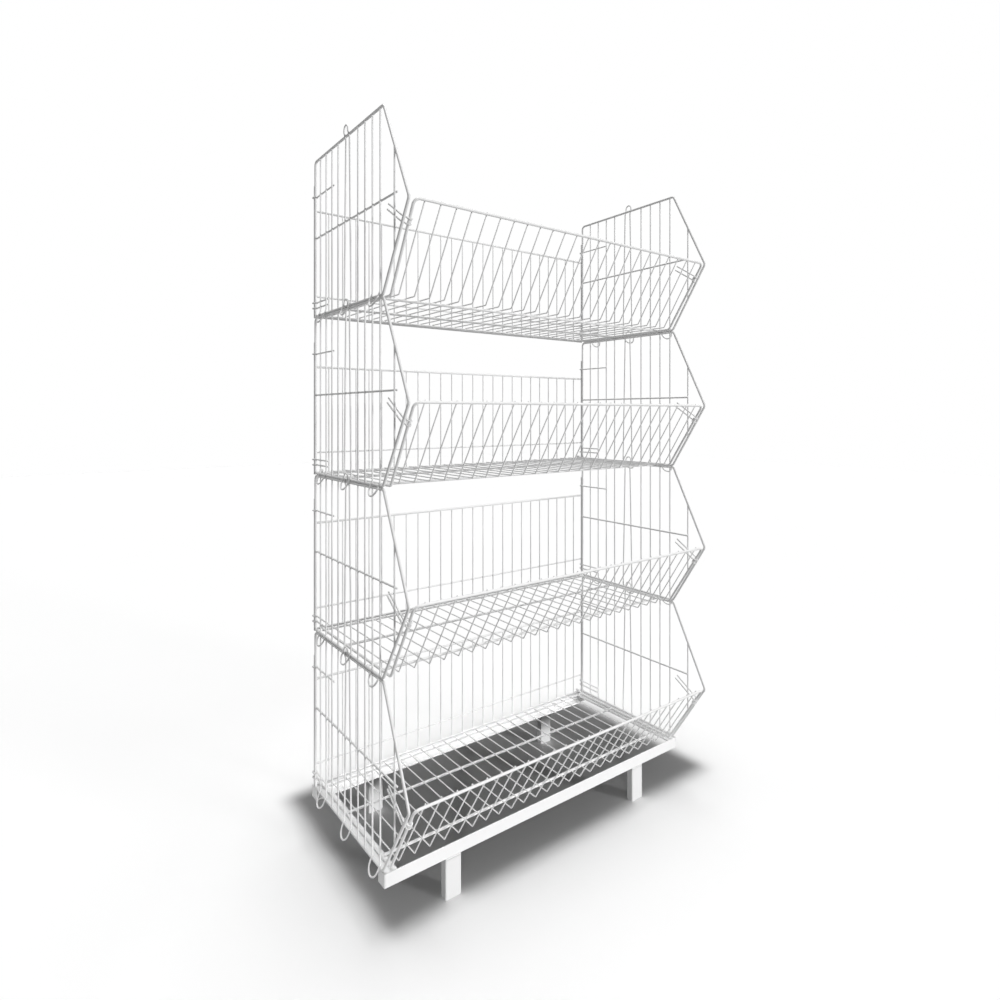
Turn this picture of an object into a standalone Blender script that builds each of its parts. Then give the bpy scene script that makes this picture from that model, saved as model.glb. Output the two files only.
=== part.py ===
"""Free-standing shop rack: stacked wire display baskets on a low steel stand.

Metres, +Z up, front towards -Y. The origin is on the floor, under the middle of the rack.
"""

import math

import bmesh
import bpy
from mathutils import Matrix, Vector

# Basket outline, on the centre lines of the frame wires
BASKETS = 4
BASKET_WIDTH = 0.900
SIDE_HEIGHT = 0.3755
TOP_DEPTH = 0.3650
NOSE_DEPTH = 0.469
NOSE_HEIGHT = 0.166
BASE_DEPTH = 0.363
FRAME_BEND = 0.010
RIM_BEND = 0.012

# Wire diameters, and the facets that stand for a round wire
FRAME_WIRE = 0.006
ROD_WIRE = 0.0048
CROSS_WIRE = 0.0046
SIDE_WIRE = 0.0038
MESH_WIRE = 0.003
LATCH_WIRE = 0.0035
FRAME_SIDES = 6
MESH_SIDES = 3
LATCH_SIDES = 4

# Clearance between pieces, and how deep crossing wires sink into each other where they are welded
GAP = 0.0003
MESH_WELD = 0.0004

# Mesh of the side panels
SIDE_WIRES = 10
SIDE_FIRST_WIRE = 0.035
SIDE_LAST_MARGIN = 0.011
NOSE_WIRE_STEP = 0.050
MID_WIRE_HEIGHT = 0.190
MID_WIRE_TAIL = 0.003
MESH_OFFSET = 0.0010

# Stacking loops: pairs of side wires carried on below the bottom wire, and one pair above the top wire
HANGING_PAIRS = ((0, 1), (8, 9))
CENTRE_PAIR = (4, 5)
LOOP_DROP = 0.021
LOOP_RISE = 0.020
LOOP_REACH = 0.0142
ARCH_INSET = 0.008

# Hinge eyes of the side panels, and the hinge rods that they wrap round
UPPER_EYE_HEIGHT = 0.290
LOWER_EYE_HEIGHTS = (0.020, 0.033)
EYE_TAIL = 0.004
ROD_TOP = 0.318

# Back panel
BACK_WIRES = 24
BACK_HEIGHT = 0.259
BACK_LOW_WIRE = 0.050
LOW_WIRE_JOG = 0.012

# Floor and front, bent from one mesh
TRAY_WIRES = 24
TRAY_INSET = 0.017
RIM_INSET = 0.0115
TRAY_BACK = 0.014
FLOOR_WIRE_DEPTHS = (0.145, 0.322)
TRAY_TAIL = 0.0045
HOOK_RUN = 0.008
TRAY_BEND = 0.012

# Latch that ties the front to a side panel
LATCH_HEIGHT = 0.128
LATCH_REACH = 0.080
LATCH_SPREAD = 0.011
LATCH_CLEARANCE = 0.0006

# Stand: two angle rails with closed ends, two flat bars and four tube legs
RAIL = 0.028
RAIL_WALL = 0.003
CAP_THICKNESS = 0.0020
BAR_WIDTH = 0.028
BAR_THICKNESS = 0.005
RAIL_OVERHANG = 0.0017
STAND_FRONT_MARGIN = 0.009
STAND_BACK = 0.019
LEG_WIDTH = 0.040
LEG_DEPTH = 0.020
LEG_HEIGHT = 0.088
LEG_SPACING = 0.580
LEG_WALL = 0.0020
TUBE_CORNER = 0.003

WHITE_COAT = (0.90, 0.90, 0.89, 1.0)
COAT_ROUGHNESS = 0.42


def facet_radius(diameter, sides):
    """Corner radius of a regular polygon with the same area as the round wire."""
    return diameter * math.sqrt(math.pi / (2 * sides * math.sin(2 * math.pi / sides)))


# Sizes that follow from the ones above
HALF_WIDTH = BASKET_WIDTH / 2
FRAME_R = facet_radius(FRAME_WIRE, FRAME_SIDES)
FRAME_FLAT = FRAME_R * math.cos(math.pi / FRAME_SIDES)
ROD_R = facet_radius(ROD_WIRE, FRAME_SIDES)
ROD_FLAT = ROD_R * math.cos(math.pi / FRAME_SIDES)
CROSS_R = facet_radius(CROSS_WIRE, MESH_SIDES)
SIDE_R = facet_radius(SIDE_WIRE, MESH_SIDES)
MESH_R = facet_radius(MESH_WIRE, MESH_SIDES)
LATCH_R = facet_radius(LATCH_WIRE, LATCH_SIDES)
STACK_STEP = 2 * FRAME_FLAT + GAP
ROD_DEPTH = FRAME_FLAT + GAP + ROD_FLAT
BACK_RAIL_DEPTH = FRAME_FLAT + GAP + FRAME_R
PLAIN_WIRE_OFFSET = MESH_OFFSET + MESH_WELD + GAP
CROSS_WIRE_OFFSET = MESH_OFFSET - SIDE_R - CROSS_R + MESH_WELD
EYE_OFFSET = MESH_OFFSET - 2 * SIDE_R + MESH_WELD
LOOP_AT_WIRE = FRAME_R + SIDE_R - MESH_WELD
LOOP_PAST_WIRE = FRAME_R + SIDE_R + GAP
LOOP_SLOPE = (LOOP_REACH - LOOP_AT_WIRE) / LOOP_DROP
LOOP_KINK = (LOOP_AT_WIRE - MESH_OFFSET) / LOOP_SLOPE
FLOOR_HEIGHT = FRAME_R + MESH_R
BACK_WIRE_HEIGHT = FLOOR_HEIGHT - FRAME_R - MESH_R + MESH_WELD
RUNNER_HEIGHT = FRAME_R - FRAME_FLAT
HOOK_HEIGHT = FRAME_FLAT + GAP + FRAME_R
TRAY_HALF = HALF_WIDTH - TRAY_INSET
RIM_HALF = HALF_WIDTH - RIM_INSET
STAND_FRONT = BASE_DEPTH + STAND_FRONT_MARGIN
RAIL_TOP = LEG_HEIGHT + GAP + RAIL
FIRST_BASKET = RAIL_TOP + GAP + FRAME_FLAT
FRONT_LINE = Vector((0, BASE_DEPTH - NOSE_DEPTH, NOSE_HEIGHT)).normalized()
FRONT_INWARD = Vector((0, FRONT_LINE.z, -FRONT_LINE.y))
BORDER_LINE = Vector((RIM_HALF - TRAY_HALF, BASE_DEPTH - NOSE_DEPTH, NOSE_HEIGHT)).normalized()
BORDER_OUTWARD = FRONT_INWARD.cross(BORDER_LINE)

X_AXIS = Vector((1, 0, 0))
Y_AXIS = Vector((0, 1, 0))
Z_AXIS = Vector((0, 0, 1))


def bridge(bm, loops, closed=False):
    """Skin a row of point loops; an open row gets a cap at each end."""
    rings = [[bm.verts.new(point) for point in loop] for loop in loops]
    followers = rings[1:] + rings[:1] if closed else rings[1:]
    for ring, follower in zip(rings, followers):
        for k in range(len(ring)):
            n = (k + 1) % len(ring)
            bm.faces.new((ring[k], ring[n], follower[n], follower[k]))
    if not closed:
        bm.faces.new(rings[0])
        bm.faces.new(rings[-1])


def wire(bm, path, radius, sides, ridge, closed=False):
    """Sweep a polygon along a path with mitred bends; one of its corners points along ridge."""
    count = len(path)
    steps = count if closed else count - 1
    runs = [(path[(i + 1) % count] - path[i]).normalized() for i in range(steps)]
    up = (ridge - runs[0] * ridge.dot(runs[0])).normalized()
    across = runs[0].cross(up)
    ring = []
    for k in range(sides):
        angle = 2 * math.pi * k / sides
        ring.append(path[0] + radius * (math.cos(angle) * up + math.sin(angle) * across))
    loops = []
    for i, point in enumerate(path):
        leaving = runs[i] if i < len(runs) else runs[-1]
        arriving = runs[i - 1] if closed or i > 0 else leaving
        mitre = (arriving + leaving).normalized()
        along = arriving if i > 0 else leaving
        ring = [corner + along * ((point - corner).dot(mitre) / along.dot(mitre)) for corner in ring]
        loops.append(ring)
    bridge(bm, loops, closed)


def frame_wire(bm, path, ridge, closed=False):
    wire(bm, path, FRAME_R, FRAME_SIDES, ridge, closed)


def mesh_wire(bm, path, ridge, radius=MESH_R, closed=False):
    wire(bm, path, radius, MESH_SIDES, ridge, closed)


def bent(points, radius, steps, closed=False):
    """Round the corners of a path with arcs of a few straight steps."""
    rounded = []
    for i, point in enumerate(points):
        if not closed and i in (0, len(points) - 1):
            rounded.append(point)
            continue
        before = (points[i - 1] - point).normalized()
        after = (points[(i + 1) % len(points)] - point).normalized()
        half_angle = before.angle(after) / 2
        reach = radius / math.tan(half_angle)
        centre = point + (before + after).normalized() * (radius / math.sin(half_angle))
        start = point + before * reach - centre
        end = point + after * reach - centre
        axis = start.cross(end)
        turn = math.pi - 2 * half_angle
        for step in range(steps + 1):
            rounded.append(centre + Matrix.Rotation(turn * step / steps, 3, axis) @ start)
    return rounded


def finished_mesh(name, bm):
    """Turn a bmesh into a mesh with its faces pointing out and its round wires shaded smooth."""
    bmesh.ops.recalc_face_normals(bm, faces=bm.faces)
    mesh = bpy.data.meshes.new(name)
    bm.to_mesh(mesh)
    bm.free()
    mesh.shade_smooth()
    mesh.set_sharp_from_angle(angle=math.radians(65))
    return mesh


def welded(name, groups):
    """Fuse groups of wires into one body; within a group no two wires touch."""
    scene = bpy.context.scene.collection
    objects = []
    for group in groups:
        tool = bpy.data.objects.new(name, finished_mesh(name, group))
        scene.objects.link(tool)
        objects.append(tool)
    body = objects[0]
    for tool in objects[1:]:
        union = body.modifiers.new("weld", "BOOLEAN")
        union.operation = "UNION"
        union.solver = "EXACT"
        union.object = tool
    graph = bpy.context.evaluated_depsgraph_get()
    mesh = bpy.data.meshes.new_from_object(body.evaluated_get(graph))
    for tool in objects:
        bpy.data.objects.remove(tool)
    mesh.name = name
    return mesh


def mirrored(mesh):
    """The same piece for the other side of the basket."""
    twin = mesh.copy()
    twin.name = mesh.name + "_mirrored"
    twin.transform(Matrix.Scale(-1, 4, X_AXIS))
    twin.flip_normals()
    return twin


def spread(count):
    """Even wire places across the width of a basket."""
    pitch = BASKET_WIDTH / (count + 1)
    return [pitch * (k + 1) - HALF_WIDTH for k in range(count)]


def side_wire_depths():
    """Depths of the upright side wires."""
    pitch = (BASE_DEPTH - SIDE_LAST_MARGIN - SIDE_FIRST_WIRE) / (SIDE_WIRES - 1)
    return [SIDE_FIRST_WIRE + pitch * k for k in range(SIDE_WIRES)]


def side_point(outward, depth, height):
    """A point of the right side panel, outward from the plane of its frame."""
    return Vector((HALF_WIDTH + outward, -depth, height))


def hanging_arc(depth_a, depth_b):
    """The round foot of a stacking loop, splayed outward so that it clears the frame below."""
    radius = (depth_b - depth_a) / 2
    middle = (depth_a + depth_b) / 2
    points = []
    for step in range(4):
        angle = math.pi * step / 3
        height = radius - LOOP_DROP - radius * math.sin(angle)
        outward = LOOP_AT_WIRE - LOOP_SLOPE * height
        points.append(side_point(outward, middle - radius * math.cos(angle), height))
    return points


def standing_arc(depth_a, depth_b):
    """The round head of the loop that stands above the top wire, from depth_b back to depth_a."""
    radius = (depth_b - depth_a) / 2
    middle = (depth_a + depth_b) / 2
    points = []
    for step in range(4):
        angle = math.pi * step / 3
        height = SIDE_HEIGHT + LOOP_RISE - radius + radius * math.sin(angle)
        points.append(side_point(LOOP_PAST_WIRE, middle + radius * math.cos(angle), height))
    return points


def hinge_eye(start_depth, height):
    """A wire along the inner side of the panel that wraps round the hinge rod and ends on the frame."""
    reach = (ROD_R + GAP + SIDE_R) / math.cos(math.pi / 6)
    path = [side_point(EYE_OFFSET, start_depth, height)]
    for angle in (210, 150, 90, 30, -30):
        turn = math.radians(angle)
        path.append(side_point(reach * math.cos(turn), -ROD_DEPTH - reach * math.sin(turn), height))
    path.append(side_point(FRAME_R / 2, FRAME_R / 4, height))
    return path


def height_on_slope(depth, corner_height, corner_depth):
    """Height of the slanted frame wire, between a corner and the nose, at a given depth."""
    share = (depth - corner_depth) / (NOSE_DEPTH - corner_depth)
    return corner_height + share * (NOSE_HEIGHT - corner_height)


def side_panel():
    """Right side panel: bent frame, upright wires, stacking loops, middle wire and hinge eyes."""
    frame = bmesh.new()
    uprights = bmesh.new()
    crossers = bmesh.new()
    outline = [
        side_point(0, 0, 0),
        side_point(0, 0, SIDE_HEIGHT),
        side_point(0, TOP_DEPTH, SIDE_HEIGHT),
        side_point(0, NOSE_DEPTH, NOSE_HEIGHT),
        side_point(0, BASE_DEPTH, 0),
    ]
    frame_wire(frame, bent(outline, FRAME_BEND, 2, closed=True), X_AXIS, closed=True)

    depths = side_wire_depths()
    looped = {k for pair in HANGING_PAIRS + (CENTRE_PAIR,) for k in pair}
    for k, depth in enumerate(depths):
        if k not in looped:
            ends = [side_point(PLAIN_WIRE_OFFSET, depth, height) for height in (0, SIDE_HEIGHT)]
            mesh_wire(uprights, ends, -X_AXIS, SIDE_R)
    for back, front in HANGING_PAIRS:
        path = [
            side_point(MESH_OFFSET, depths[back], SIDE_HEIGHT),
            side_point(MESH_OFFSET, depths[back], LOOP_KINK),
            *hanging_arc(depths[back], depths[front]),
            side_point(MESH_OFFSET, depths[front], LOOP_KINK),
            side_point(MESH_OFFSET, depths[front], SIDE_HEIGHT),
        ]
        mesh_wire(uprights, path, -X_AXIS, SIDE_R)

    back, front = (depths[k] for k in CENTRE_PAIR)
    arch_back = back + ARCH_INSET
    arch_front = front - ARCH_INSET
    path = [
        side_point(MESH_OFFSET, arch_back, SIDE_HEIGHT - LOOP_KINK),
        side_point(MESH_OFFSET, back, LOOP_KINK),
        *hanging_arc(back, front),
        side_point(MESH_OFFSET, front, LOOP_KINK),
        side_point(MESH_OFFSET, arch_front, SIDE_HEIGHT - LOOP_KINK),
        side_point(LOOP_PAST_WIRE, arch_front, SIDE_HEIGHT + STACK_STEP),
        *standing_arc(arch_back, arch_front),
        side_point(LOOP_PAST_WIRE, arch_back, SIDE_HEIGHT + STACK_STEP),
    ]
    mesh_wire(uprights, path, -X_AXIS, SIDE_R, closed=True)

    nose = BASE_DEPTH + NOSE_WIRE_STEP
    ends = [
        side_point(MESH_OFFSET, nose, height_on_slope(nose, 0, BASE_DEPTH)),
        side_point(MESH_OFFSET, nose, height_on_slope(nose, SIDE_HEIGHT, TOP_DEPTH)),
    ]
    mesh_wire(uprights, ends, -X_AXIS, SIDE_R)

    middle = [
        side_point(CROSS_WIRE_OFFSET, 0, MID_WIRE_HEIGHT),
        side_point(CROSS_WIRE_OFFSET, nose + MID_WIRE_TAIL, MID_WIRE_HEIGHT),
    ]
    mesh_wire(crossers, middle, X_AXIS, CROSS_R)
    mesh_wire(crossers, hinge_eye(depths[2] + EYE_TAIL, UPPER_EYE_HEIGHT), X_AXIS, SIDE_R)
    for height in LOWER_EYE_HEIGHTS:
        mesh_wire(crossers, hinge_eye(depths[1] + EYE_TAIL, height), X_AXIS, SIDE_R)
    return welded("side_panel", [frame, uprights, crossers])


def hinge_rod():
    """Upright rod in a rear corner, which the eyes of a side panel turn on."""
    rod = bmesh.new()
    wire(rod, [Vector((0, 0, height)) for height in (-FRAME_FLAT, ROD_TOP)], ROD_R, FRAME_SIDES, X_AXIS)
    return finished_mesh("hinge_rod", rod)


def back_panel():
    """Back panel between the hinge rods: rails, upright wires and a low wire; lower than the sides."""
    rails = bmesh.new()
    uprights = bmesh.new()
    rod_face = HALF_WIDTH - ROD_R - GAP
    for height in (0, BACK_HEIGHT):
        rail = [Vector((x, BACK_RAIL_DEPTH, height)) for x in (-rod_face, rod_face)]
        frame_wire(rails, rail, Y_AXIS)
    places = spread(BACK_WIRES)
    upright_depth = BACK_RAIL_DEPTH - MESH_OFFSET
    low_depth = upright_depth + MESH_R + CROSS_R + GAP
    end_depth = low_depth - GAP - MESH_WELD
    half = [
        Vector((places[-1] - LOW_WIRE_JOG, low_depth, BACK_LOW_WIRE)),
        Vector((places[-1] - MESH_R, end_depth, BACK_LOW_WIRE)),
        Vector((rod_face, end_depth, BACK_LOW_WIRE)),
    ]
    other_half = [Vector((-point.x, point.y, point.z)) for point in reversed(half)]
    mesh_wire(rails, other_half + half, -Y_AXIS, CROSS_R)
    for x in places:
        upright = [Vector((x, upright_depth, height)) for height in (0, BACK_HEIGHT)]
        mesh_wire(uprights, upright, Y_AXIS)
    return welded("back_panel", [rails, uprights])


def front_point(across, along, inward):
    """A point of the slanted front, measured up its slope and inward from the plane of its frame."""
    foot = Vector((across, -BASE_DEPTH, 0))
    return foot + along * FRONT_LINE + inward * FRONT_INWARD


def along_front(height, inward=0.0):
    """Distance up the slope at which the front reaches a given height."""
    return (height - inward * FRONT_INWARD.z) / FRONT_LINE.z


def tray():
    """Floor and slanted front: a border wire hooked over the back rail, cross wires and J wires."""
    border = bmesh.new()
    crossers = bmesh.new()
    runners = bmesh.new()
    rim = along_front(NOSE_HEIGHT)
    hook = [
        Vector((TRAY_HALF, BACK_RAIL_DEPTH + TRAY_TAIL, HOOK_HEIGHT)),
        Vector((TRAY_HALF, HOOK_RUN + TRAY_TAIL - TRAY_BACK, HOOK_HEIGHT)),
    ]
    back = Vector((TRAY_HALF, TRAY_TAIL - TRAY_BACK, RUNNER_HEIGHT))
    foot = front_point(TRAY_HALF, along_front(RUNNER_HEIGHT), 0)
    half = [back, foot, front_point(RIM_HALF, rim, 0)]
    other_half = [Vector((-point.x, point.y, point.z)) for point in reversed(half)]
    lower = hook + bent(half, TRAY_BEND, 1)[:-1]
    upper = bent([lower[-1], half[-1], other_half[0], other_half[1]], RIM_BEND, 3)[1:-1]
    lower_other = [Vector((-point.x, point.y, point.z)) for point in reversed(lower)]
    frame_wire(border, lower + upper + lower_other, Z_AXIS)

    reach = Vector((TRAY_HALF + TRAY_TAIL, 0, 0))
    for depth in FLOOR_WIRE_DEPTHS:
        centre = Vector((0, -depth, 0))
        frame_wire(crossers, [centre - reach, centre + reach], Y_AXIS)
    centre = Vector((0, -TRAY_BACK, BACK_WIRE_HEIGHT))
    frame_wire(crossers, [centre - reach, centre + reach], Z_AXIS)

    bend = along_front(FLOOR_HEIGHT, MESH_OFFSET)
    for x in spread(TRAY_WIRES):
        path = [
            Vector((x, FRAME_R - TRAY_BACK, FLOOR_HEIGHT)),
            front_point(x, bend, MESH_OFFSET),
            front_point(x, rim, MESH_OFFSET),
        ]
        mesh_wire(runners, path, -Z_AXIS)
    return welded("tray", [border, crossers, runners])


def latch_origin():
    """Point of the right latch's hinge axis, which is the slanted border wire of the front."""
    share = LATCH_HEIGHT / NOSE_HEIGHT
    return front_point(TRAY_HALF + share * (RIM_HALF - TRAY_HALF), along_front(LATCH_HEIGHT), 0)


def latch():
    """Right latch: a hairpin hooked round the front's border wire, its legs behind the side frame."""
    seat = FRAME_R + GAP + LATCH_R
    leg_offset = HALF_WIDTH - latch_origin().x + MESH_OFFSET - SIDE_R - LATCH_CLEARANCE - LATCH_R
    hook = seat / math.cos(math.pi / 6)
    profile = [(leg_offset, LATCH_REACH), (leg_offset, seat)]
    for angle in (30, -30, -90, -150, -210):
        turn = math.radians(angle)
        profile.append((hook * math.cos(turn), hook * math.sin(turn)))
    legs = []
    for side in (-1, 1):
        rise = side * LATCH_SPREAD / 2 * BORDER_LINE
        legs.append([rise + out * BORDER_OUTWARD + inward * FRONT_INWARD for out, inward in profile])
    pin = bmesh.new()
    wire(pin, legs[0] + legs[1][::-1], LATCH_R, LATCH_SIDES, X_AXIS)
    return finished_mesh("latch", pin)


def rounded_rectangle(width, depth, radius):
    """Corner points of a rectangle with chamfered corners, centred on zero."""
    points = []
    for sx, sy in ((1, 1), (-1, 1), (-1, -1), (1, -1)):
        near = (sx * width / 2, sy * (depth / 2 - radius))
        far = (sx * (width / 2 - radius), sy * depth / 2)
        points += [near, far] if sx == sy else [far, near]
    return points


def angle_rail(half_length):
    """Steel angle along X: an upright wall facing -Y with a flange behind its foot."""
    outline = [
        (0, 0),
        (RAIL, 0),
        (RAIL, RAIL_WALL),
        (RAIL_WALL, RAIL_WALL),
        (RAIL_WALL, RAIL),
        (0, RAIL),
    ]
    bar = bmesh.new()
    bridge(bar, [[(x, y, z) for y, z in outline] for x in (-half_length, half_length)])
    return finished_mesh("rail", bar)


def plate(name, width, depth, height):
    """Plain rectangular plate or bar, centred on zero."""
    block = bmesh.new()
    outline = [(sx * width / 2, sy * depth / 2) for sx, sy in ((-1, -1), (1, -1), (1, 1), (-1, 1))]
    bridge(block, [[(x, y, z) for x, y in outline] for z in (-height / 2, height / 2)])
    return finished_mesh(name, block)


def leg():
    """Rectangular tube leg, open at the top against the rail and closed by a plate at the floor."""
    outer = rounded_rectangle(LEG_WIDTH, LEG_DEPTH, TUBE_CORNER)
    bore_width = LEG_WIDTH - 2 * LEG_WALL
    bore_depth = LEG_DEPTH - 2 * LEG_WALL
    inner = rounded_rectangle(bore_width, bore_depth, TUBE_CORNER - LEG_WALL)

    def loop(section, height):
        return [(x, y, height) for x, y in section]

    tube = bmesh.new()
    bridge(tube, [loop(outer, 0), loop(outer, LEG_HEIGHT), loop(inner, LEG_HEIGHT), loop(inner, LEG_WALL)])
    return finished_mesh("leg", tube)


def coat(name):
    """White powder coat."""
    material = bpy.data.materials.new(name)
    material.use_nodes = True
    shader = material.node_tree.nodes["Principled BSDF"]
    shader.inputs["Base Color"].default_value = WHITE_COAT
    shader.inputs["Roughness"].default_value = COAT_ROUGHNESS
    shader.inputs["Metallic"].default_value = 0.0
    material.diffuse_color = WHITE_COAT
    return material


def place(name, mesh, material, parent, location=(0, 0, 0), turn=0.0):
    """Put a piece in the scene under its parent."""
    piece = bpy.data.objects.new(name, mesh)
    bpy.context.scene.collection.objects.link(piece)
    if not mesh.materials:
        mesh.materials.append(material)
    piece.parent = parent
    piece.location = location
    piece.rotation_euler = (0, 0, turn)
    return piece


def place_empty(name, parent, location):
    empty = bpy.data.objects.new(name, None)
    bpy.context.scene.collection.objects.link(empty)
    empty.parent = parent
    empty.location = location
    return empty


def build_stand(root, material):
    """Two angle rails with end caps, tied by two flat bars, on four legs flush with the rails' faces."""
    half_x = HALF_WIDTH + RAIL_OVERHANG
    cap_x = half_x - CAP_THICKNESS / 2
    rail = angle_rail(half_x - CAP_THICKNESS - GAP)
    cap = plate("end_cap", CAP_THICKNESS, RAIL, RAIL)
    post = leg()
    for row, face, inward, turn in (("front", -STAND_FRONT, 1, 0), ("rear", STAND_BACK, -1, math.pi)):
        place("stand_" + row + "_rail", rail, material, root, (0, face, RAIL_TOP - RAIL), turn)
        for side, sign in (("left", -1), ("right", 1)):
            cap_place = (sign * cap_x, face + inward * RAIL / 2, RAIL_TOP - RAIL / 2)
            place("stand_" + row + "_" + side + "_cap", cap, material, root, cap_place)
            leg_place = (sign * LEG_SPACING / 2, face + inward * LEG_DEPTH / 2, 0)
            place("stand_leg_" + row + "_" + side, post, material, root, leg_place)
    bar = plate("bar", BAR_WIDTH, STAND_FRONT + STAND_BACK - 2 * (RAIL_WALL + GAP), BAR_THICKNESS)
    bar_x = half_x - CAP_THICKNESS - GAP - BAR_WIDTH / 2
    bar_y = (STAND_BACK - STAND_FRONT) / 2
    bar_z = RAIL_TOP - BAR_THICKNESS / 2
    place("stand_left_bar", bar, material, root, (-bar_x, bar_y, bar_z))
    place("stand_right_bar", bar, material, root, (bar_x, bar_y, bar_z))


def build_baskets(root, material, latch_material):
    """Stack the baskets, each carried by the one below."""
    right_side = side_panel()
    left_side = mirrored(right_side)
    back = back_panel()
    rod = hinge_rod()
    floor = tray()
    right_latch = latch()
    left_latch = mirrored(right_latch)
    hinge = latch_origin()
    carrier = root
    seat = FIRST_BASKET
    for number in range(1, BASKETS + 1):
        name = "basket_" + str(number)
        carrier = place_empty(name, carrier, (0, 0, seat))
        place(name + "_back_panel", back, material, carrier)
        place(name + "_left_hinge_rod", rod, material, carrier, (-HALF_WIDTH, ROD_DEPTH, 0))
        place(name + "_right_hinge_rod", rod, material, carrier, (HALF_WIDTH, ROD_DEPTH, 0))
        place(name + "_floor_and_front", floor, material, carrier)
        place(name + "_left_side", left_side, material, carrier)
        place(name + "_right_side", right_side, material, carrier)
        place(name + "_left_latch", left_latch, latch_material, carrier, (-hinge.x, hinge.y, hinge.z))
        place(name + "_right_latch", right_latch, latch_material, carrier, hinge)
        seat = SIDE_HEIGHT + STACK_STEP


def build():
    for old in list(bpy.data.objects):
        bpy.data.objects.remove(old)
    front_reach = NOSE_DEPTH + FRAME_R
    root = place_empty("rack", None, (0, (front_reach - STAND_BACK) / 2, 0))
    build_stand(root, coat("stand_coat"))
    build_baskets(root, coat("basket_coat"), coat("latch_coat"))


build()
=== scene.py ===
"""Looks of the stacked wire basket rack: coated wires, steel stand, studio floor, light and camera."""

import math

import bpy
from mathutils import Matrix, Vector


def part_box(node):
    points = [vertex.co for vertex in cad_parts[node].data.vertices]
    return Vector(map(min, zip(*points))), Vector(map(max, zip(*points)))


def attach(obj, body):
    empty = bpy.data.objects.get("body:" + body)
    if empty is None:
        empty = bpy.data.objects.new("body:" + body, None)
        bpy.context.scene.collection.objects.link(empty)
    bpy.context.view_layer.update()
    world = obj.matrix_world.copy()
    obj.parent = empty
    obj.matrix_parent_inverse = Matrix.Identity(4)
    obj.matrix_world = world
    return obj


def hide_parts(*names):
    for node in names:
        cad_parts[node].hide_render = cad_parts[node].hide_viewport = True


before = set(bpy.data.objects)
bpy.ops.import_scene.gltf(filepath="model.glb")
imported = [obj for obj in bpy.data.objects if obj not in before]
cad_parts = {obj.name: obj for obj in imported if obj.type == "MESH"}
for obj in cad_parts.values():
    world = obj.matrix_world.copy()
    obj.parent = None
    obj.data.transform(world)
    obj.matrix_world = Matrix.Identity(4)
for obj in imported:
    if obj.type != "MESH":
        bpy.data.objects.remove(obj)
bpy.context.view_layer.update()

X_AXIS = Vector((1, 0, 0))
Y_AXIS = Vector((0, 1, 0))
Z_AXIS = Vector((0, 0, 1))
ALONG_X, ALONG_Y, ALONG_Z = range(3)

# Layout shared with the solids, in metres. In a basket, depth counts from the sides' rear frame wire
# towards the front, and height from the middle of the lowest frame wire.
BASKETS = 4
HALF_WIDTH = 0.450
SIDE_HEIGHT = 0.3755
TOP_DEPTH = 0.3650
NOSE_DEPTH = 0.469
NOSE_HEIGHT = 0.166
BASE_DEPTH = 0.363
WIRES_ACROSS = 24
# Rear face of the stand's rear rail, behind the sides' rear frame wire
REAR_RAIL_BACK = 0.019
SHIFT_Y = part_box("stand_rear_rail")[1].y - REAR_RAIL_BACK
# Reach of the solids' faceted frame wire below its middle
SOLID_WIRE_REACH = 0.002857

# Radii of the round wires, depth of a weld, play of a wire that is bent round another
FRAME_R = 0.0030
ROD_R = 0.0024
CROSS_R = 0.0023
SIDE_R = 0.0019
MESH_R = 0.0015
LATCH_R = 0.00175
WELD = 0.0003
PLAY = 0.0002

# Fineness of the wires and of their bends
FRAME_SIDES = 14
MESH_SIDES = 10
FRAME_BEND_STEPS = 8
MESH_BEND_STEPS = 5
ARC_STEPS = 12
WIRE_SHARP = 50
END_WIDTH = 0.6
END_LENGTH = 0.4

# Side panel
SIDE_BEND = 0.010
SIDE_WIRES = 10
FIRST_SIDE_WIRE = 0.035
SIDE_WIRE_SPAN = 0.317
SIDE_WIRE_DEPTHS = [FIRST_SIDE_WIRE + SIDE_WIRE_SPAN * k / (SIDE_WIRES - 1) for k in range(SIDE_WIRES)]
PLAIN_WIRES = (2, 3, 6, 7)
LOOPED_WIRES = ((0, 1), (8, 9))
ARCHED_WIRES = (4, 5)
ARCH_INSET = 0.008
NOSE_WIRE_DEPTH = 0.413
MID_WIRE_HEIGHT = 0.190
MID_WIRE_PAST_NOSE = 0.003
MESH_OFFSET = 0.0010
CROSS_OFFSET = MESH_OFFSET - SIDE_R - CROSS_R + WELD

# Loops by which the baskets stack: outward places on the frame, drop, rise and slope of the splay
LOOP_AT_WIRE = FRAME_R + SIDE_R - WELD
LOOP_PAST_WIRE = FRAME_R + SIDE_R + WELD
LOOP_AT_FOOT = 0.0142
LOOP_DROP = 0.021
LOOP_RISE = 0.020
LOOP_SLOPE = (LOOP_AT_FOOT - LOOP_AT_WIRE) / LOOP_DROP
LOOP_KINK = (LOOP_AT_WIRE - MESH_OFFSET) / LOOP_SLOPE

# Hinge eyes, each from a side wire to round the rod: wire, height; angles in degrees
HINGE_EYES = ((2, 0.290), (1, 0.020), (1, 0.033))
EYE_OFFSET = MESH_OFFSET - 2 * SIDE_R + WELD
EYE_PAST_WIRE = 0.004
EYE_STRAIGHT_TO = 0.012
EYE_START = 200
EYE_STEP = 22
EYE_STEPS = 10
EYE_TAIL_DEPTH = 0.0008

# Back panel and hinge rods; their depths lie behind the sides' rear frame wire
BACK_HEIGHT = 0.259
BACK_RAIL_DEPTH = 0.0064
LOW_WIRE_HEIGHT = 0.050
ROD_TOP = 0.318
ROD_DEPTH = 0.00545

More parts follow.
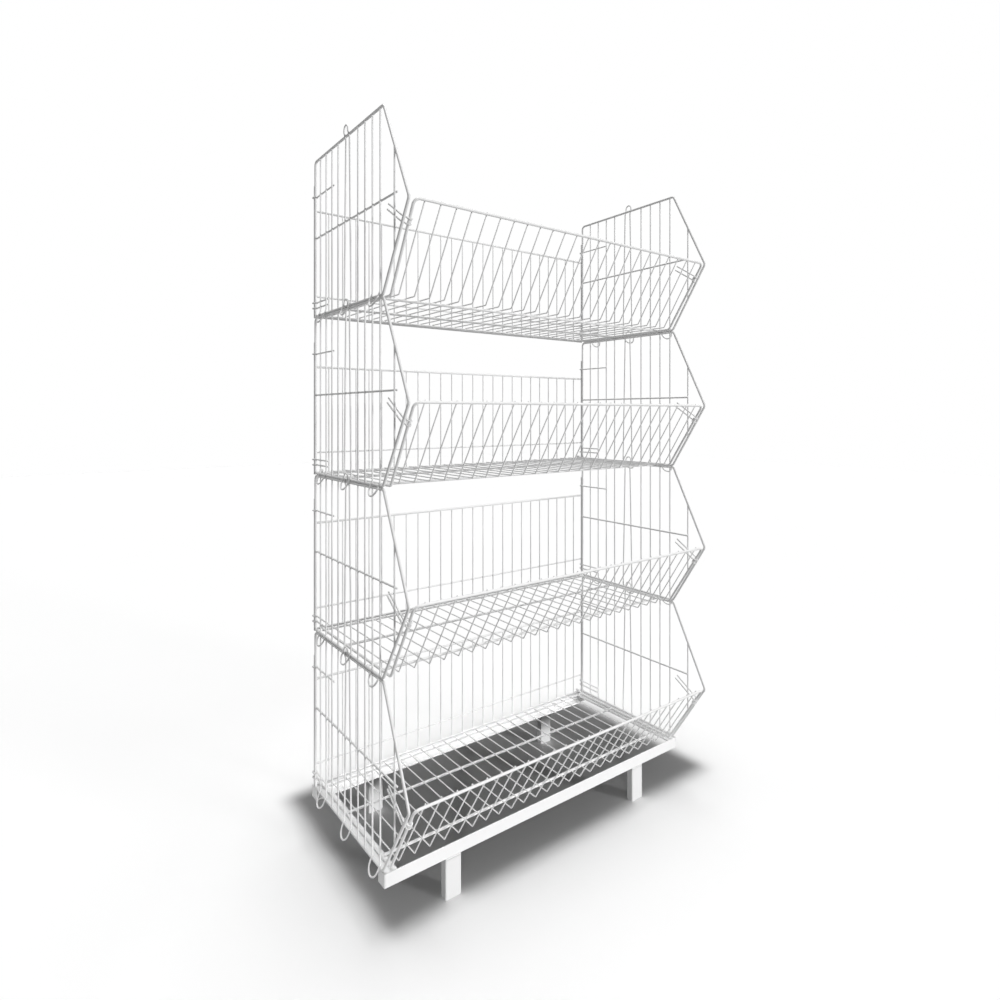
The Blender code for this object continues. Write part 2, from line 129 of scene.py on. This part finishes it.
# Floor and front, one tray of wire whose border hooks over the back's bottom rail
TRAY_HALF = 0.433
RIM_HALF = 0.4385
HOOK_END = -0.0109
HOOK_START = 0.0015
HOOK_FOOT = 0.0095
HOOK_HEIGHT = 2 * FRAME_R + 0.0001
HOOK_BEND = 0.004
BORDER_BEND = 0.012
CROSS_WIRE_DEPTHS = (0.014, 0.145, 0.322)
CROSS_WIRE_HALF = 0.4368
FLOOR_HEIGHT = FRAME_R + MESH_R - WELD
MESH_START = 0.0107
MESH_BEND = 0.005
MESH_PAST_RIM = 0.0025
FRONT_LINE = Vector((0, BASE_DEPTH - NOSE_DEPTH, NOSE_HEIGHT)).normalized()
FRONT_INWARD = Vector((0, FRONT_LINE.z, -FRONT_LINE.y))
BORDER_LINE = Vector((RIM_HALF - TRAY_HALF, BASE_DEPTH - NOSE_DEPTH, NOSE_HEIGHT)).normalized()
BORDER_OUTWARD = FRONT_INWARD.cross(BORDER_LINE)

# Latch, a hairpin with two hooks round the tray's border; angles in degrees
LATCH_HEIGHT = 0.128
LATCH_REACH = 0.080
LATCH_SPREAD = 0.011
LATCH_LEG_OUT = 0.0095
LATCH_LEG_START = 0.008
LATCH_TIP_PINCH = 0.0015
LATCH_HOOK_START = 40
LATCH_HOOK_STEP = 22
LATCH_HOOK_STEPS = 11

# Steel of the stand: wall, rounded corners and broken edges, sharpest angle shaded smooth
STEEL_WALL = 0.003
STEEL_HEEL = 0.0015
STEEL_EDGE = 0.0008
STEEL_FILLET = 0.003
STEEL_SHARP = 30
CORNER_STEPS = 5
BRACED_RUN = 0.0025
BRACE_STEP = 0.0004
CAP_CORNER, CAP_EDGE = 0.0012, 0.0004
LEG_CORNER, LEG_EDGE = 0.0030, 0.0008
BAR_CORNER, BAR_EDGE = 0.0008, 0.0001

# Powder coats: tone, orange peel, tone of the duller patches
WIRE_TONE, WIRE_PEEL = 0.85, 0.12
STAND_TONE, STAND_PEEL = 0.87, 0.08
DULL_SHARE = 0.96

# Stage: tones of the floor and strengths of the world, first for light on the object, then as seen
FLOOR_HALF = 12.0
FLOOR_LIT, FLOOR_SEEN = 0.30, 0.98
WORLD_LIT, WORLD_SEEN = 0.18, 1.0
CARD_HALF = (0.530, 0.308)
CARD_SOFT = 0.03
CARD_TONE = 0.5
CARD_RIGHT = 0.060
CARD_FORWARD = 0.093
CARD_BELOW_RAIL = 0.003


class Wires:
    """Collects round wires, and other swept sections, into one mesh."""

    def __init__(self):
        self.points = []
        self.faces = []

    def loops(self, loops, closed=False):
        base = len(self.points)
        sides = len(loops[0])
        for loop in loops:
            self.points.extend(loop)
        rows = len(loops)
        for row in range(rows if closed else rows - 1):
            a = base + row * sides
            b = base + (row + 1) % rows * sides
            for k in range(sides):
                n = (k + 1) % sides
                self.faces.append((a + k, a + n, b + n, b + k))
        if not closed:
            self.faces.append(tuple(base + k for k in reversed(range(sides))))
            self.faces.append(tuple(base + (rows - 1) * sides + k for k in range(sides)))

    def wire(self, path, radius, sides, closed=False):
        """Sweep a round section along a path, mitred at each point."""
        count = len(path)
        spans = count if closed else count - 1
        runs = [(path[(i + 1) % count] - path[i]).normalized() for i in range(spans)]
        guide = min((X_AXIS, Y_AXIS, Z_AXIS), key=lambda axis: abs(axis.dot(runs[0])))
        up = (guide - runs[0] * guide.dot(runs[0])).normalized()
        across = runs[0].cross(up)
        ring = []
        for k in range(sides):
            angle = 2 * math.pi * k / sides
            ring.append(path[0] + radius * (math.cos(angle) * up + math.sin(angle) * across))
        loops = []
        for i, point in enumerate(path):
            leaving = runs[i] if i < len(runs) else runs[-1]
            arriving = runs[i - 1] if closed or i > 0 else leaving
            mitre = (arriving + leaving).normalized()
            along = arriving if i > 0 else leaving
            ring = [corner + along * ((point - corner).dot(mitre) / along.dot(mitre)) for corner in ring]
            loops.append(ring)
        if not closed:
            loops.insert(0, self.rim(loops[0], path[0], -runs[0], radius))
            loops.append(self.rim(loops[-1], path[-1], runs[-1], radius))
        self.loops(loops, closed)

    @staticmethod
    def rim(ring, centre, outward, radius):
        """Slightly rounded cut end of a wire."""
        return [centre + (corner - centre) * END_WIDTH + outward * radius * END_LENGTH for corner in ring]

    def frame(self, path, closed=False):
        self.wire(path, FRAME_R, FRAME_SIDES, closed)

    def mesh(self, path, radius=MESH_R, closed=False):
        self.wire(path, radius, MESH_SIDES, closed)

    def finished(self, name, sharp=WIRE_SHARP):
        data = bpy.data.meshes.new(name)
        data.from_pydata([tuple(p) for p in self.points], [], self.faces)
        data.shade_smooth()
        data.set_sharp_from_angle(angle=math.radians(sharp))
        data.update()
        return data


def bent(points, radii, steps, closed=False):
    """Round the corners of a path; radii is one value, or one per point."""
    rounded = []
    for i, point in enumerate(points):
        radius = radii[i] if isinstance(radii, (list, tuple)) else radii
        if radius == 0 or (not closed and i in (0, len(points) - 1)):
            rounded.append(point)
            continue
        before = (points[i - 1] - point).normalized()
        after = (points[(i + 1) % len(points)] - point).normalized()
        half_angle = before.angle(after) / 2
        reach = radius / math.tan(half_angle)
        centre = point + (before + after).normalized() * (radius / math.sin(half_angle))
        start = point + before * reach - centre
        end = point + after * reach - centre
        axis = start.cross(end)
        turn = math.pi - 2 * half_angle
        for step in range(steps + 1):
            rounded.append(centre + Matrix.Rotation(turn * step / steps, 3, axis) @ start)
    return rounded


def spread():
    """Places of the mesh wires across the basket."""
    pitch = 2 * HALF_WIDTH / (WIRES_ACROSS + 1)
    return [pitch * (k + 1) - HALF_WIDTH for k in range(WIRES_ACROSS)]


def side_point(outward, depth, height):
    return Vector((HALF_WIDTH + outward, -depth, height))


def hanging_arc(back, front):
    """Foot of a stacking loop below the side, splayed outward."""
    radius = (front - back) / 2
    middle = (front + back) / 2
    points = []
    for step in range(ARC_STEPS + 1):
        angle = math.pi * step / ARC_STEPS
        height = radius - LOOP_DROP - radius * math.sin(angle)
        outward = LOOP_AT_WIRE - LOOP_SLOPE * height
        points.append(side_point(outward, middle - radius * math.cos(angle), height))
    return points


def standing_arc(back, front):
    """Top of the loop above the side."""
    radius = (front - back) / 2
    middle = (front + back) / 2
    points = []
    for step in range(ARC_STEPS + 1):
        angle = math.pi * step / ARC_STEPS
        height = SIDE_HEIGHT + LOOP_RISE - radius + radius * math.sin(angle)
        points.append(side_point(LOOP_PAST_WIRE, middle + radius * math.cos(angle), height))
    return points


def hinge_eye(start_depth, height):
    """Wire from the side panel to and round the hinge rod."""
    reach = ROD_R + PLAY + SIDE_R
    path = [side_point(EYE_OFFSET, start_depth, height), side_point(EYE_OFFSET, EYE_STRAIGHT_TO, height)]
    for step in range(EYE_STEPS + 1):
        turn = math.radians(EYE_START - EYE_STEP * step)
        path.append(side_point(reach * math.cos(turn), -ROD_DEPTH - reach * math.sin(turn), height))
    path.append(side_point(FRAME_R, EYE_TAIL_DEPTH, height))
    return path


def height_on_slope(depth, corner_height, corner_depth):
    """Height of the side's sloping frame wire between a corner and the nose."""
    share = (depth - corner_depth) / (NOSE_DEPTH - corner_depth)
    return corner_height + share * (NOSE_HEIGHT - corner_height)


def side_panel():
    """Right side panel."""
    wires = Wires()
    outline = [
        side_point(0, 0, 0),
        side_point(0, 0, SIDE_HEIGHT),
        side_point(0, TOP_DEPTH, SIDE_HEIGHT),
        side_point(0, NOSE_DEPTH, NOSE_HEIGHT),
        side_point(0, BASE_DEPTH, 0),
    ]
    wires.frame(bent(outline, SIDE_BEND, FRAME_BEND_STEPS, closed=True), closed=True)
    depths = SIDE_WIRE_DEPTHS
    for k in PLAIN_WIRES:
        ends = [side_point(MESH_OFFSET, depths[k], 0), side_point(MESH_OFFSET, depths[k], SIDE_HEIGHT)]
        wires.mesh(ends, SIDE_R)
    for back, front in LOOPED_WIRES:
        wires.mesh([
            side_point(MESH_OFFSET, depths[back], SIDE_HEIGHT),
            side_point(MESH_OFFSET, depths[back], LOOP_KINK),
            *hanging_arc(depths[back], depths[front]),
            side_point(MESH_OFFSET, depths[front], LOOP_KINK),
            side_point(MESH_OFFSET, depths[front], SIDE_HEIGHT),
        ], SIDE_R)
    back, front = [depths[k] for k in ARCHED_WIRES]
    arch_back, arch_front = back + ARCH_INSET, front - ARCH_INSET
    wires.mesh([
        side_point(MESH_OFFSET, arch_back, SIDE_HEIGHT - LOOP_KINK),
        side_point(MESH_OFFSET, back, LOOP_KINK),
        *hanging_arc(back, front),
        side_point(MESH_OFFSET, front, LOOP_KINK),
        side_point(MESH_OFFSET, arch_front, SIDE_HEIGHT - LOOP_KINK),
        side_point(LOOP_PAST_WIRE, arch_front, SIDE_HEIGHT + 2 * FRAME_R),
        *standing_arc(arch_back, arch_front),
        side_point(LOOP_PAST_WIRE, arch_back, SIDE_HEIGHT + 2 * FRAME_R),
    ], SIDE_R, closed=True)
    nose = NOSE_WIRE_DEPTH
    wires.mesh([
        side_point(MESH_OFFSET, nose, height_on_slope(nose, 0, BASE_DEPTH)),
        side_point(MESH_OFFSET, nose, height_on_slope(nose, SIDE_HEIGHT, TOP_DEPTH)),
    ], SIDE_R)
    wires.mesh([
        side_point(CROSS_OFFSET, 0, MID_WIRE_HEIGHT),
        side_point(CROSS_OFFSET, nose + MID_WIRE_PAST_NOSE, MID_WIRE_HEIGHT),
    ], CROSS_R)
    for k, height in HINGE_EYES:
        wires.mesh(hinge_eye(depths[k] + EYE_PAST_WIRE, height), SIDE_R)
    return wires.finished("side_wires")


def hinge_rod():
    """Upright rod at its own origin."""
    wires = Wires()
    wires.wire([Vector((0, 0, -FRAME_R + PLAY)), Vector((0, 0, ROD_TOP))], ROD_R, FRAME_SIDES)
    return wires.finished("hinge_rod_wire")


def back_panel():
    wires = Wires()
    rod_face = HALF_WIDTH - ROD_R
    for height in (0, BACK_HEIGHT):
        wires.frame([Vector((s * rod_face, BACK_RAIL_DEPTH, height)) for s in (-1, 1)])
    upright = BACK_RAIL_DEPTH - MESH_OFFSET
    low = upright + MESH_R + CROSS_R - WELD
    wires.mesh([Vector((s * rod_face, low, LOW_WIRE_HEIGHT)) for s in (-1, 1)], CROSS_R)
    for x in spread():
        wires.mesh([Vector((x, upright, 0)), Vector((x, upright, BACK_HEIGHT))])
    return wires.finished("back_wires")


def front_point(across, along, inward):
    """Place on the slanted front, along it from its foot."""
    return Vector((across, -BASE_DEPTH, 0)) + along * FRONT_LINE + inward * FRONT_INWARD


def along_front(height, inward=0.0):
    return (height - inward * FRONT_INWARD.z) / FRONT_LINE.z


def tray():
    """Floor and front."""
    wires = Wires()
    rim = along_front(NOSE_HEIGHT)
    half = [
        Vector((TRAY_HALF, -HOOK_END, HOOK_HEIGHT)),
        Vector((TRAY_HALF, -HOOK_START, HOOK_HEIGHT)),
        Vector((TRAY_HALF, -HOOK_FOOT, 0)),
        front_point(TRAY_HALF, 0, 0),
        front_point(RIM_HALF, rim, 0),
    ]
    other = [Vector((-p.x, p.y, p.z)) for p in reversed(half)]
    bends = [0, HOOK_BEND, HOOK_BEND, BORDER_BEND, BORDER_BEND]
    wires.frame(bent(half + other, bends + bends[::-1], FRAME_BEND_STEPS))
    for depth in CROSS_WIRE_DEPTHS:
        wires.frame([Vector((s * CROSS_WIRE_HALF, -depth, 0)) for s in (-1, 1)])
    inward = FRAME_R + MESH_R - WELD
    bend = along_front(FLOOR_HEIGHT, inward)
    for x in spread():
        path = [
            Vector((x, -MESH_START, FLOOR_HEIGHT)),
            front_point(x, bend, inward),
            front_point(x, rim + MESH_PAST_RIM, inward),
        ]
        wires.mesh(bent(path, MESH_BEND, MESH_BEND_STEPS))
    return wires.finished("tray_wires")


def latch():
    """Right latch, in place on its basket."""
    wires = Wires()
    across = TRAY_HALF + LATCH_HEIGHT / NOSE_HEIGHT * (RIM_HALF - TRAY_HALF)
    origin = front_point(across, along_front(LATCH_HEIGHT), 0)
    seat = FRAME_R + PLAY + LATCH_R
    profile = [(LATCH_LEG_OUT, LATCH_REACH), (LATCH_LEG_OUT, LATCH_LEG_START)]
    for step in range(LATCH_HOOK_STEPS + 1):
        turn = math.radians(LATCH_HOOK_START - LATCH_HOOK_STEP * step)
        profile.append((seat * math.cos(turn), seat * math.sin(turn)))
    legs = []
    for side in (-1, 1):
        start = origin + side * LATCH_SPREAD / 2 * BORDER_LINE
        legs.append([start + out * BORDER_OUTWARD + inward * FRONT_INWARD for out, inward in profile])
    path = legs[0] + legs[1][::-1]
    turn_at = len(legs[0])
    path[turn_at - 1] = path[turn_at - 1] + LATCH_TIP_PINCH * BORDER_LINE
    path[turn_at] = path[turn_at] - LATCH_TIP_PINCH * BORDER_LINE
    wires.wire(path, LATCH_R, MESH_SIDES)
    return wires.finished("latch_wire")


def mirrored(data):
    twin = data.copy()
    twin.name = data.name + "_left"
    twin.transform(Matrix.Scale(-1, 4, X_AXIS))
    twin.flip_normals()
    return twin


def rounded_section(width, depth, radius):
    points = []
    for sx, sy, start in ((1, 1, 0), (-1, 1, 90), (-1, -1, 180), (1, -1, 270)):
        for step in range(CORNER_STEPS + 1):
            angle = math.radians(start + 90 * step / CORNER_STEPS)
            points.append(Vector((
                sx * (width / 2 - radius) + radius * math.cos(angle),
                sy * (depth / 2 - radius) + radius * math.sin(angle),
            )))
    return points


def braced(section):
    """Add points beside the rounded corners of a section, so that its flats shade flat."""
    points = []
    for point, follower in zip(section, section[1:] + section[:1]):
        points.append(point)
        run = follower - point
        if run.length > BRACED_RUN:
            step = run.normalized() * BRACE_STEP
            points += [point + step, follower - step]
    return points


def angle_form(low, high, face):
    """Steel angle along X with broken edges; face is -1 for a wall at the front, 1 for one at the back."""
    near, far = (low.y, high.y) if face < 0 else (high.y, low.y)
    inner = near - face * STEEL_WALL
    shelf = low.z + STEEL_WALL
    corners = (
        (near, low.z, STEEL_HEEL),
        (far, low.z, STEEL_EDGE),
        (far, shelf, STEEL_EDGE),
        (inner, shelf, STEEL_FILLET),
        (inner, high.z, STEEL_EDGE),
        (near, high.z, STEEL_EDGE),
    )
    outline = [Vector((0, y, z)) for y, z, radius in corners]
    radii = [radius for y, z, radius in corners]
    section = braced(bent(outline, radii, CORNER_STEPS, closed=True))
    if face > 0:
        section.reverse()
    form = Wires()
    form.loops([[point + X_AXIS * x for point in section] for x in (low.x, high.x)])
    return form


def rounded_block(low, high, along, corner, edge):
    """Block between two corners, its section rounded across one axis and its ends lightly broken."""
    block = Wires()
    centre = (low + high) / 2
    size = high - low
    a, b = [k for k in range(3) if k != along]
    section = braced(rounded_section(size[a], size[b], corner))

    def loop(place, shrink):
        points = []
        for p, q in section:
            point = Vector((0, 0, 0))
            point[along] = place
            point[a] = centre[a] + p * (1 - 2 * shrink / size[a])
            point[b] = centre[b] + q * (1 - 2 * shrink / size[b])
            points.append(point)
        return points

    start, stop = low[along], high[along]
    rows = [loop(start, edge), loop(start + edge, 0), loop(stop - edge, 0), loop(stop, edge)]
    block.loops(rows if along != ALONG_Y else rows[::-1])
    return block


def in_scene(name, data):
    """New object in the scene."""
    thing = bpy.data.objects.new(name, data)
    bpy.context.scene.collection.objects.link(thing)
    return thing


def sheet(name, half_width, half_depth):
    """Flat rectangle round its own origin."""
    data = bpy.data.meshes.new(name)
    signs = ((-1, -1), (1, -1), (1, 1), (-1, 1))
    data.from_pydata([(sx * half_width, sy * half_depth, 0) for sx, sy in signs], [], [(0, 1, 2, 3)])
    return in_scene(name, data)


def new_material(name):
    """Material, its nodes, its links and its surface shader."""
    material = bpy.data.materials.new(name)
    material.use_nodes = True
    tree = material.node_tree
    return material, tree.nodes, tree.links, tree.nodes["Principled BSDF"]


def grey(tone):
    return tone, tone, tone, 1.0


def coat(name, tone, peel):
    """White powder coat with a fine orange peel and a faint unevenness of tone."""
    material, nodes, links, shader = new_material(name)
    place = nodes.new("ShaderNodeTexCoord")
    grain = nodes.new("ShaderNodeTexNoise")
    grain.inputs["Scale"].default_value = 900.0
    grain.inputs["Detail"].default_value = 3.0
    patches = nodes.new("ShaderNodeTexNoise")
    patches.inputs["Scale"].default_value = 9.0
    patches.inputs["Detail"].default_value = 4.0
    tones = nodes.new("ShaderNodeMix")
    tones.data_type = "RGBA"
    tones.inputs["A"].default_value = grey(tone)
    tones.inputs["B"].default_value = grey(tone * DULL_SHARE)
    gloss = nodes.new("ShaderNodeMapRange")
    gloss.inputs["To Min"].default_value = 0.34
    gloss.inputs["To Max"].default_value = 0.46
    bump = nodes.new("ShaderNodeBump")
    bump.inputs["Strength"].default_value = peel
    bump.inputs["Distance"].default_value = 0.0002
    links.new(place.outputs["Object"], grain.inputs["Vector"])
    links.new(place.outputs["Object"], patches.inputs["Vector"])
    links.new(patches.outputs["Fac"], tones.inputs["Factor"])
    links.new(tones.outputs["Result"], shader.inputs["Base Color"])
    links.new(patches.outputs["Fac"], gloss.inputs["Value"])
    links.new(gloss.outputs["Result"], shader.inputs["Roughness"])
    links.new(grain.outputs["Fac"], bump.inputs["Height"])
    links.new(bump.outputs["Normal"], shader.inputs["Normal"])
    return material


def show(name, data, material, body, node, location=(0, 0, 0)):
    """Put a piece in place, on its body, in place of its solid."""
    piece = in_scene(name, data)
    if not data.materials:
        data.materials.append(material)
    piece.location = location
    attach(piece, body)
    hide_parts(node)


def build_baskets():
    wire_coat = coat("wire_powder_coat", WIRE_TONE, WIRE_PEEL)
    latch_coat = coat("latch_powder_coat", WIRE_TONE, WIRE_PEEL)
    right_side = side_panel()
    left_side = mirrored(right_side)
    right_latch = latch()
    left_latch = mirrored(right_latch)
    back = back_panel()
    rod = hinge_rod()
    floor = tray()
    for number in range(1, BASKETS + 1):
        basket = "basket_" + str(number)
        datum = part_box(basket + "_back_panel")[0].z + SOLID_WIRE_REACH
        at = (0, SHIFT_Y, datum)
        parts = (
            ("_back_wires", back, "_back_panel"),
            ("_tray_wires", floor, "_floor_and_front"),
            ("_left_wires", left_side, "_left_side"),
            ("_right_wires", right_side, "_right_side"),
        )
        for ending, data, node in parts:
            show(basket + ending, data, wire_coat, basket, basket + node, at)
        for side, sign in (("_left", -1), ("_right", 1)):
            corner = (sign * HALF_WIDTH, SHIFT_Y + ROD_DEPTH, datum)
            node = basket + side + "_hinge_rod"
            show(node + "_wire", rod, wire_coat, basket, node, corner)
        for side, data in (("_left_latch", left_latch), ("_right_latch", right_latch)):
            show(basket + side + "_wire", data, latch_coat, basket + side, basket + side, at)


def build_stand():
    stand_coat = coat("stand_powder_coat", STAND_TONE, STAND_PEEL)
    blocks = []
    for row, face in (("front", -1), ("rear", 1)):
        rail = "stand_" + row + "_rail"
        data = angle_form(*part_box(rail), face).finished(rail + "_form", STEEL_SHARP)
        show(rail + "_form", data, stand_coat, "stand", rail)
        for side in ("left", "right"):
            blocks.append(("stand_" + row + "_" + side + "_cap", ALONG_X, CAP_CORNER, CAP_EDGE))
            blocks.append(("stand_leg_" + row + "_" + side, ALONG_Z, LEG_CORNER, LEG_EDGE))
    for side in ("left", "right"):
        blocks.append(("stand_" + side + "_bar", ALONG_Y, BAR_CORNER, BAR_EDGE))
    for node, along, corner, edge in blocks:
        low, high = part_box(node)
        data = rounded_block(low, high, along, corner, edge).finished(node + "_form", STEEL_SHARP)
        show(node + "_form", data, stand_coat, "stand", node)


def seen_rays(nodes, links):
    """Socket that is 1 for rays of the camera, reflections and refractions, which see the pale stage."""
    rays = nodes.new("ShaderNodeLightPath")
    seen = rays.outputs["Is Camera Ray"]
    for kind in ("Is Glossy Ray", "Is Transmission Ray"):
        either = nodes.new("ShaderNodeMath")
        either.operation = "MAXIMUM"
        links.new(seen, either.inputs[0])
        links.new(rays.outputs[kind], either.inputs[1])
        seen = either.outputs["Value"]
    return seen


def build_floor():
    """Floor that looks white and sends little light up, so that the undersides of the wires stay dark."""
    floor = sheet("floor", FLOOR_HALF, FLOOR_HALF)
    material, nodes, links, shader = new_material("pale_floor")
    shader.inputs["Roughness"].default_value = 0.9
    shader.inputs["Specular IOR Level"].default_value = 0.1
    tones = nodes.new("ShaderNodeMix")
    tones.data_type = "RGBA"
    tones.inputs["A"].default_value = grey(FLOOR_LIT)
    tones.inputs["B"].default_value = grey(FLOOR_SEEN)
    links.new(seen_rays(nodes, links), tones.inputs["Factor"])
    links.new(tones.outputs["Result"], shader.inputs["Base Color"])
    floor.data.materials.append(material)


def aimed(name, data, azimuth, elevation):
    """Light from a compass angle, counted from the front towards the right; gives the way to its source."""
    light = in_scene(name, data)
    a, e = math.radians(azimuth), math.radians(elevation)
    source = Vector((math.sin(a) * math.cos(e), -math.cos(a) * math.cos(e), math.sin(e)))
    light.rotation_euler = (-source).to_track_quat("-Z", "Y").to_euler()
    return light, source


def sun_light(name, azimuth, elevation, spread_angle, strength):
    data = bpy.data.lights.new(name, "SUN")
    data.energy = strength
    data.angle = math.radians(spread_angle)
    aimed(name, data, azimuth, elevation)


def strip_light(name, azimuth, elevation, distance, target, size, spread_angle, power):
    """Narrow beam from a strip that the camera doesn't see."""
    data = bpy.data.lights.new(name, "AREA")
    data.shape = "RECTANGLE"
    data.size, data.size_y = size
    data.spread = math.radians(spread_angle)
    data.energy = power
    light, source = aimed(name, data, azimuth, elevation)
    light.location = Vector(target) + source * distance
    light.visible_camera = False


def shade_card():
    """Soft-edged card, unseen by the camera, that keeps the overhead light off the floor."""
    card = sheet("shade_card", *CARD_HALF)
    under_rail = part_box("stand_front_rail")[0].z - CARD_BELOW_RAIL
    card.location = (CARD_RIGHT, SHIFT_Y - CARD_FORWARD, under_rail)
    material, nodes, links, shader = new_material("grey_card")
    shader.inputs["Base Color"].default_value = grey(CARD_TONE)
    shader.inputs["Roughness"].default_value = 1.0
    place = nodes.new("ShaderNodeTexCoord")
    parts = nodes.new("ShaderNodeSeparateXYZ")
    links.new(place.outputs["Object"], parts.inputs["Vector"])
    nearest = nodes.new("ShaderNodeMath")
    nearest.operation = "MINIMUM"
    for k, axis in enumerate("XY"):
        away = nodes.new("ShaderNodeMath")
        away.operation = "ABSOLUTE"
        inside = nodes.new("ShaderNodeMath")
        inside.operation = "SUBTRACT"
        inside.inputs[0].default_value = CARD_HALF[k]
        links.new(parts.outputs[axis], away.inputs[0])
        links.new(away.outputs["Value"], inside.inputs[1])
        links.new(inside.outputs["Value"], nearest.inputs[k])
    fade = nodes.new("ShaderNodeMapRange")
    fade.interpolation_type = "SMOOTHSTEP"
    fade.inputs["From Max"].default_value = CARD_SOFT
    links.new(nearest.outputs["Value"], fade.inputs["Value"])
    links.new(fade.outputs["Result"], shader.inputs["Alpha"])
    card.data.materials.append(material)
    card.visible_camera = False
    card.visible_glossy = False


def build_light():
    world = bpy.data.worlds.new("studio")
    bpy.context.scene.world = world
    world.use_nodes = True
    nodes = world.node_tree.nodes
    links = world.node_tree.links
    background = nodes["Background"]
    background.inputs["Color"].default_value = (1.0, 1.0, 1.0, 1.0)
    strength = nodes.new("ShaderNodeMapRange")
    strength.inputs["To Min"].default_value = WORLD_LIT
    strength.inputs["To Max"].default_value = WORLD_SEEN
    links.new(seen_rays(nodes, links), strength.inputs["Value"])
    links.new(strength.outputs["Result"], background.inputs["Strength"])
    sun_light("overhead", azimuth=150, elevation=88, spread_angle=44, strength=2.5)
    sun_light("front_fill", azimuth=25, elevation=4, spread_angle=8, strength=2.0)
    strip_light(
        "low_beam", azimuth=-37, elevation=5, distance=2.2, target=(0, 0, 0.05),
        size=(1.5, 0.36), spread_angle=5, power=0.42,
    )
    strip_light(
        "rear_beam", azimuth=0, elevation=35, distance=2.5, target=(0, SHIFT_Y - 0.005, 0.10),
        size=(0.82, 0.05), spread_angle=3, power=0.12,
    )
    shade_card()


def build_camera():
    """Level camera, fitted to the photograph."""
    data = bpy.data.cameras.new("camera")
    data.sensor_width = 36.0
    data.lens = 23.11
    data.shift_y = -0.0856
    camera = in_scene("camera", data)
    camera.location = (-1.0285, SHIFT_Y - 1.5217, 1.0255)
    camera.rotation_euler = (math.pi / 2, 0, math.radians(-36.84))
    bpy.context.scene.camera = camera


build_baskets()
build_stand()
build_floor()
build_light()
build_camera()
bpy.context.scene.view_settings.view_transform = "Standard"
